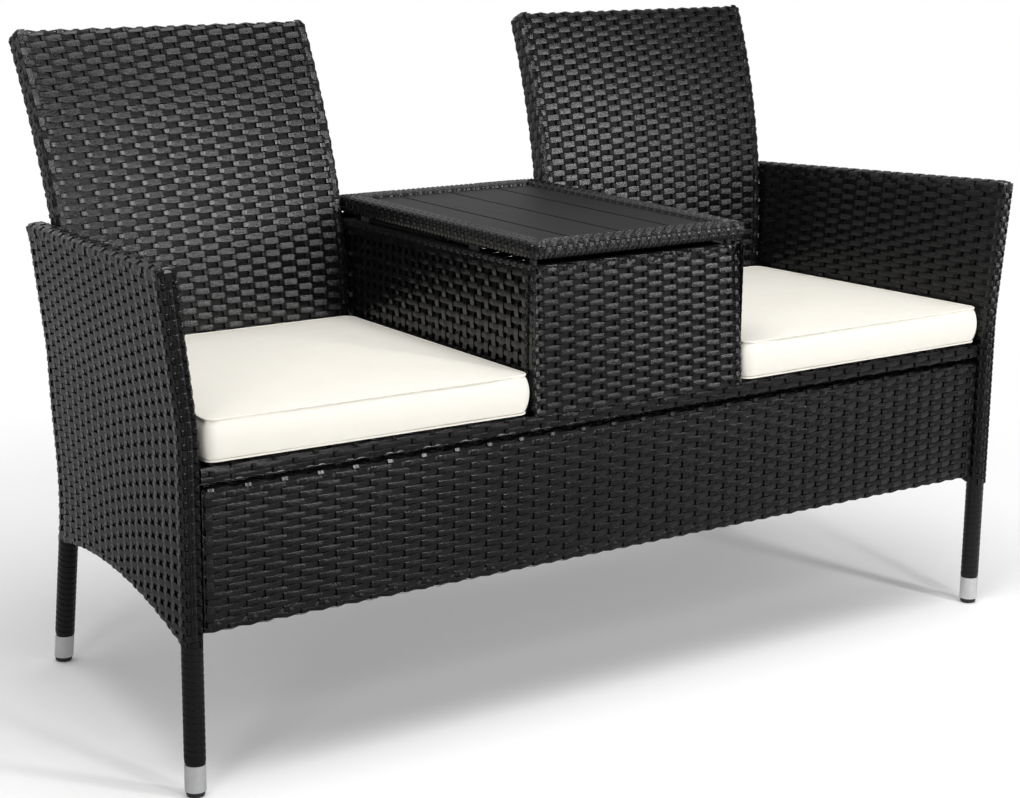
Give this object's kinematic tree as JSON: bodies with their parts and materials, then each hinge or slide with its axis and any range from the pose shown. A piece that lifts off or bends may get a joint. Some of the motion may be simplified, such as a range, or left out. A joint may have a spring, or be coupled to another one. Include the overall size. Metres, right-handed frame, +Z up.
{
  "type": "garden bench",
  "caption": "Garden bench in woven plastic rattan on a steel tube frame, with a hinged table-top lid over a storage box between its cushioned seats.",
  "frame": {"origin": "on the floor, under the middle of the bench's overall box", "axes": "+X to the right of someone facing the bench, +Y to its back, +Z up"},
  "size_m": [1.3302, 0.5685, 0.838],
  "materials": {
    "rattan": "flat plastic strip, near black, satin with fine lengthwise grooves",
    "frame_steel": "black powder coat",
    "foot_metal": "brushed, clear anodised",
    "glide": "black, moulded",
    "bumper": "black, soft",
    "slat": "wood-plastic board, dark grey, brushed grain",
    "hardware": "zinc plated",
    "strut_body": "black enamel",
    "strut_rod": "polished",
    "cushion_cloth": "cream woven cloth with piped seams",
    "cushion_foam": "open-cell foam"
  },
  "bodies": {
    "bench": {"apron_rails": "frame_steel", "apron_stiles": "frame_steel", "apron_weave": "rattan", "back_bolts": "hardware", "box_back_weave": "rattan", "box_floor": "rattan", "box_front_weave": "rattan", "box_posts": "frame_steel", "box_rails": "frame_steel", "foot_glides": "glide", "foot_sleeves": "foot_metal", "hinge_box_leaves": "hardware", "hinge_box_screws": "hardware", "hinge_pins": "hardware", "left_arch_rod": "frame_steel", "left_arm_rail": "frame_steel", "left_back_rails": "frame_steel", "left_back_stiles": "frame_steel", "left_back_weave": "rattan", "left_box_side_weave": "rattan", "left_front_leg": "frame_steel", "left_rear_arm_post": "frame_steel", "left_rear_leg": "frame_steel", "left_seat_deck": "rattan", "left_seat_side_rail": "frame_steel", "left_side_weave": "rattan", "leg_wraps": "rattan", "lid_bumpers": "bumper", "right_arch_rod": "frame_steel", "right_arm_rail": "frame_steel", "right_back_rails": "frame_steel", "right_back_stiles": "frame_steel", "right_back_weave": "rattan", "right_box_side_weave": "rattan", "right_front_leg": "frame_steel", "right_rear_arm_post": "frame_steel", "right_rear_leg": "frame_steel", "right_seat_deck": "rattan", "right_seat_side_rail": "frame_steel", "right_side_weave": "rattan", "seat_cross_bars": "frame_steel", "seat_front_band": "rattan", "seat_front_rail": "frame_steel", "seat_rear_rail": "frame_steel", "strut_box_studs": "hardware"},
    "lid": {"lid_frame": "frame_steel", "lid_rim_weave": "rattan", "lid_slats": "slat", "lid_battens": "frame_steel", "lid_screws": "hardware", "hinge_lid_leaves": "hardware", "strut_lid_studs": "hardware"},
    "right_strut_cylinder": {"right_strut_cylinder": "strut_body"},
    "right_strut_rod": {"right_strut_rod": "strut_rod"},
    "right_cushion": {"right_cushion_cover": "cushion_cloth", "right_cushion_foam": "cushion_foam"},
    "left_strut_cylinder": {"left_strut_cylinder": "strut_body"},
    "left_strut_rod": {"left_strut_rod": "strut_rod"},
    "left_cushion": {"left_cushion_cover": "cushion_cloth", "left_cushion_foam": "cushion_foam"}
  },
  "joints": [
    {"name": "lid_hinge", "type": "hinge", "parent": "bench", "child": "lid", "pos_m": [0, 0.2005, 0.581], "axis": [-1, 0, 0], "range_deg": [0, 60]},
    {"name": "right_strut_turn", "type": "hinge", "parent": "bench", "child": "right_strut_cylinder", "pos_m": [0.142, 0.1425, 0.573], "axis": [-1, 0, 0], "range_deg": [0, 68.8]},
    {"name": "right_strut_slide", "type": "slide", "parent": "right_strut_cylinder", "child": "right_strut_rod", "axis": [0, -0.9999, 0.0114], "range_m": [0, 0.04]},
    {"name": "left_strut_turn", "type": "hinge", "parent": "bench", "child": "left_strut_cylinder", "pos_m": [-0.142, 0.1425, 0.573], "axis": [-1, 0, 0], "range_deg": [0, 68.8]},
    {"name": "left_strut_slide", "type": "slide", "parent": "left_strut_cylinder", "child": "left_strut_rod", "axis": [0, -0.9999, 0.0114], "range_m": [0, 0.04]},
    {"name": "right_cushion_lift", "type": "slide", "parent": "bench", "child": "right_cushion", "axis": [0, 0, 1], "range_m": [0, 0.15]},
    {"name": "left_cushion_lift", "type": "slide", "parent": "bench", "child": "left_cushion", "axis": [0, 0, 1], "range_m": [0, 0.15]}
  ],
  "couplings": [
    {"joint": "right_strut_turn", "follows": "lid_hinge", "ratio": 1.1454},
    {"joint": "right_strut_slide", "follows": "lid_hinge", "m_per_rad": 0.03815},
    {"joint": "left_strut_turn", "follows": "lid_hinge", "ratio": 1.1454},
    {"joint": "left_strut_slide", "follows": "lid_hinge", "m_per_rad": 0.03815}
  ]
}
